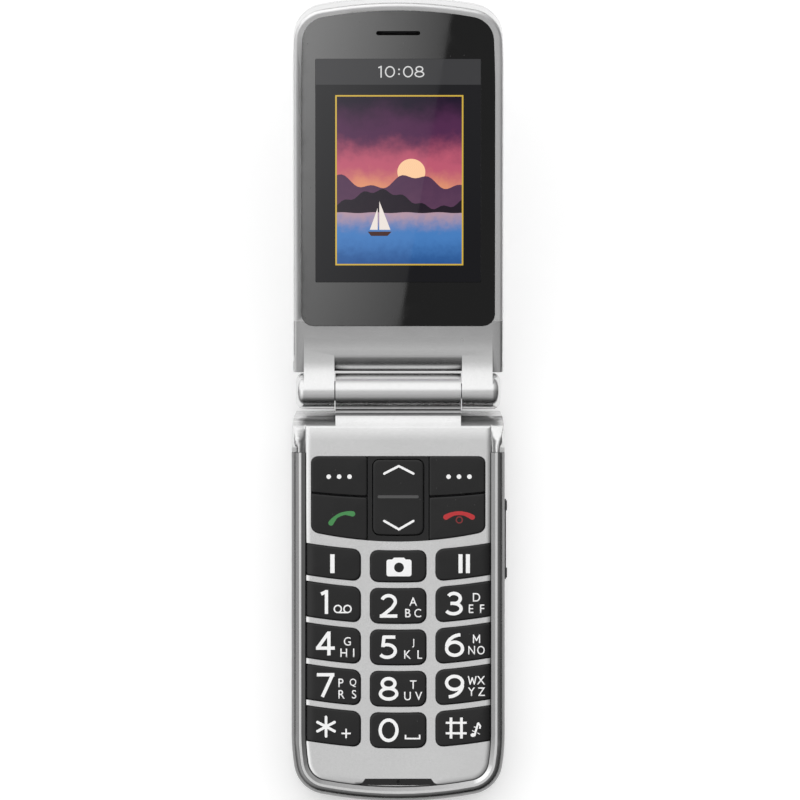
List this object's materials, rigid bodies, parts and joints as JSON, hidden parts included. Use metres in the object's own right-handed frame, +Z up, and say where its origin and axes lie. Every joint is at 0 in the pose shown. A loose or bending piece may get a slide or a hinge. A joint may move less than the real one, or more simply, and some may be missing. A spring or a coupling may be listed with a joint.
{
  "type": "flip phone",
  "caption": "Folding mobile phone shown open on its back: a hinged lid with a display window, a base with large raised keys, a navigation rocker and a sliding battery cover.",
  "frame": {"origin": "on the flat rear face, under the middle of the base", "axes": "+X across the phone to the volume key's side, +Y along it towards the lid, +Z up from the rear face"},
  "size_m": [0.0526, 0.1958, 0.0451],
  "materials": {
    "silver_paint": "metallic silver paint",
    "bright_band": "bright metallic silver paint",
    "black_gloss": "moulded black, half gloss, printed white",
    "dark_cover": "fine moulded grain",
    "window_black": "clear window, black printed behind",
    "display_glass": "display module",
    "keypad_rubber": "silicone",
    "spring_steel": "plain",
    "weight_brass": "plain",
    "board_green": "solder mask",
    "flex_amber": "polyimide film",
    "black_plastic": "moulded",
    "battery_can": "film wrapped",
    "red_plastic": "moulded"
  },
  "bodies": {
    "base": {"front_housing": "silver_paint", "rear_housing": "silver_paint", "side_band": "bright_band", "nav_plate": "black_gloss", "mic_bumper": "black_gloss", "keypad_mat": "keypad_rubber", "dome_sheet": "spring_steel", "board_shields": "spring_steel", "sim_holder": "spring_steel", "usb_socket": "spring_steel", "housing_screws": "spring_steel", "hinge_case": "spring_steel", "hinge_cam": "spring_steel", "hinge_spring": "spring_steel", "vibration_motor": "spring_steel", "microphone": "spring_steel", "battery_contacts": "weight_brass", "main_board": "board_green", "flex_cable": "flex_amber", "side_switches": "flex_amber", "loudspeaker": "black_plastic", "antenna": "black_plastic", "battery": "battery_can"},
    "lid": {"lid_inner_housing": "silver_paint", "lid_outer_cover": "bright_band", "display_window": "window_black", "display_module": "display_glass", "lid_board": "board_green", "earpiece": "spring_steel", "camera_module": "black_plastic", "camera_window": "window_black", "lid_magnet": "spring_steel", "lid_screws": "spring_steel", "hinge_shaft": "spring_steel", "hinge_bush": "black_plastic", "flex_lid_tail": "flex_amber"},
    "key_soft_left": {"key_soft_left": "black_gloss"},
    "key_soft_right": {"key_soft_right": "black_gloss"},
    "key_call": {"key_call": "black_gloss"},
    "key_end": {"key_end": "black_gloss"},
    "key_memory_1": {"key_memory_1": "black_gloss"},
    "key_camera": {"key_camera": "black_gloss"},
    "key_memory_2": {"key_memory_2": "black_gloss"},
    "key_1": {"key_1": "black_gloss"},
    "key_2": {"key_2": "black_gloss"},
    "key_3": {"key_3": "black_gloss"},
    "key_4": {"key_4": "black_gloss"},
    "key_5": {"key_5": "black_gloss"},
    "key_6": {"key_6": "black_gloss"},
    "key_7": {"key_7": "black_gloss"},
    "key_8": {"key_8": "black_gloss"},
    "key_9": {"key_9": "black_gloss"},
    "key_star": {"key_star": "black_gloss"},
    "key_0": {"key_0": "black_gloss"},
    "key_hash": {"key_hash": "black_gloss"},
    "key_nav": {"key_nav": "black_gloss"},
    "volume_rocker": {"volume_rocker": "dark_cover"},
    "sos_key": {"sos_key": "red_plastic"},
    "battery_cover": {"battery_cover": "dark_cover"},
    "vibration_weight": {"vibration_weight": "weight_brass"}
  },
  "joints": [
    {"name": "lid_hinge", "type": "hinge", "parent": "base", "child": "lid", "pos_m": [0, 0.05, 0.01145], "axis": [1, 0, 0], "range_deg": [0, 160]},
    {"name": "key_soft_left_press", "type": "slide", "parent": "base", "child": "key_soft_left", "axis": [0, 0, -1], "range_m": [0, 0.0004], "stiffness_N_per_m": 1500},
    {"name": "key_soft_right_press", "type": "slide", "parent": "base", "child": "key_soft_right", "axis": [0, 0, -1], "range_m": [0, 0.0004], "stiffness_N_per_m": 1500},
    {"name": "key_call_press", "type": "slide", "parent": "base", "child": "key_call", "axis": [0, 0, -1], "range_m": [0, 0.0004], "stiffness_N_per_m": 1500},
    {"name": "key_end_press", "type": "slide", "parent": "base", "child": "key_end", "axis": [0, 0, -1], "range_m": [0, 0.0004], "stiffness_N_per_m": 1500},
    {"name": "key_memory_1_press", "type": "slide", "parent": "base", "child": "key_memory_1", "axis": [0, 0, -1], "range_m": [0, 0.0004], "stiffness_N_per_m": 1500},
    {"name": "key_camera_press", "type": "slide", "parent": "base", "child": "key_camera", "axis": [0, 0, -1], "range_m": [0, 0.0004], "stiffness_N_per_m": 1500},
    {"name": "key_memory_2_press", "type": "slide", "parent": "base", "child": "key_memory_2", "axis": [0, 0, -1], "range_m": [0, 0.0004], "stiffness_N_per_m": 1500},
    {"name": "key_1_press", "type": "slide", "parent": "base", "child": "key_1", "axis": [0, 0, -1], "range_m": [0, 0.0004], "stiffness_N_per_m": 1500},
    {"name": "key_2_press", "type": "slide", "parent": "base", "child": "key_2", "axis": [0, 0, -1], "range_m": [0, 0.0004], "stiffness_N_per_m": 1500},
    {"name": "key_3_press", "type": "slide", "parent": "base", "child": "key_3", "axis": [0, 0, -1], "range_m": [0, 0.0004], "stiffness_N_per_m": 1500},
    {"name": "key_4_press", "type": "slide", "parent": "base", "child": "key_4", "axis": [0, 0, -1], "range_m": [0, 0.0004], "stiffness_N_per_m": 1500},
    {"name": "key_5_press", "type": "slide", "parent": "base", "child": "key_5", "axis": [0, 0, -1], "range_m": [0, 0.0004], "stiffness_N_per_m": 1500},
    {"name": "key_6_press", "type": "slide", "parent": "base", "child": "key_6", "axis": [0, 0, -1], "range_m": [0, 0.0004], "stiffness_N_per_m": 1500},
    {"name": "key_7_press", "type": "slide", "parent": "base", "child": "key_7", "axis": [0, 0, -1], "range_m": [0, 0.0004], "stiffness_N_per_m": 1500},
    {"name": "key_8_press", "type": "slide", "parent": "base", "child": "key_8", "axis": [0, 0, -1], "range_m": [0, 0.0004], "stiffness_N_per_m": 1500},
    {"name": "key_9_press", "type": "slide", "parent": "base", "child": "key_9", "axis": [0, 0, -1], "range_m": [0, 0.0004], "stiffness_N_per_m": 1500},
    {"name": "key_star_press", "type": "slide", "parent": "base", "child": "key_star", "axis": [0, 0, -1], "range_m": [0, 0.0004], "stiffness_N_per_m": 1500},
    {"name": "key_0_press", "type": "slide", "parent": "base", "child": "key_0", "axis": [0, 0, -1], "range_m": [0, 0.0004], "stiffness_N_per_m": 1500},
    {"name": "key_hash_press", "type": "slide", "parent": "base", "child": "key_hash", "axis": [0, 0, -1], "range_m": [0, 0.0004], "stiffness_N_per_m": 1500},
    {"name": "key_nav_rock", "type": "hinge", "parent": "base", "child": "key_nav", "pos_m": [0, 0.02405, 0.009], "axis": [1, 0, 0], "range_deg": [-1.2, 1.2], "stiffness_Nm_per_rad": 0.5},
    {"name": "volume_rock", "type": "hinge", "parent": "base", "child": "volume_rocker", "pos_m": [0.024, 0.0139, 0.0071], "axis": [0, 0, 1], "range_deg": [-1.5, 1.5], "stiffness_Nm_per_rad": 0.5},
    {"name": "sos_key_press", "type": "slide", "parent": "base", "child": "sos_key", "axis": [0, 0, 1], "range_m": [0, 0.0004], "stiffness_N_per_m": 1500},
    {"name": "battery_cover_slide", "type": "slide", "parent": "base", "child": "battery_cover", "axis": [0, -1, 0], "range_m": [0, 0.068]},
    {"name": "motor_spin", "type": "hinge", "parent": "base", "child": "vibration_weight", "pos_m": [0.0184, 0.0304, 0.00375], "axis": [0, 1, 0], "continuous": true}
  ]
}
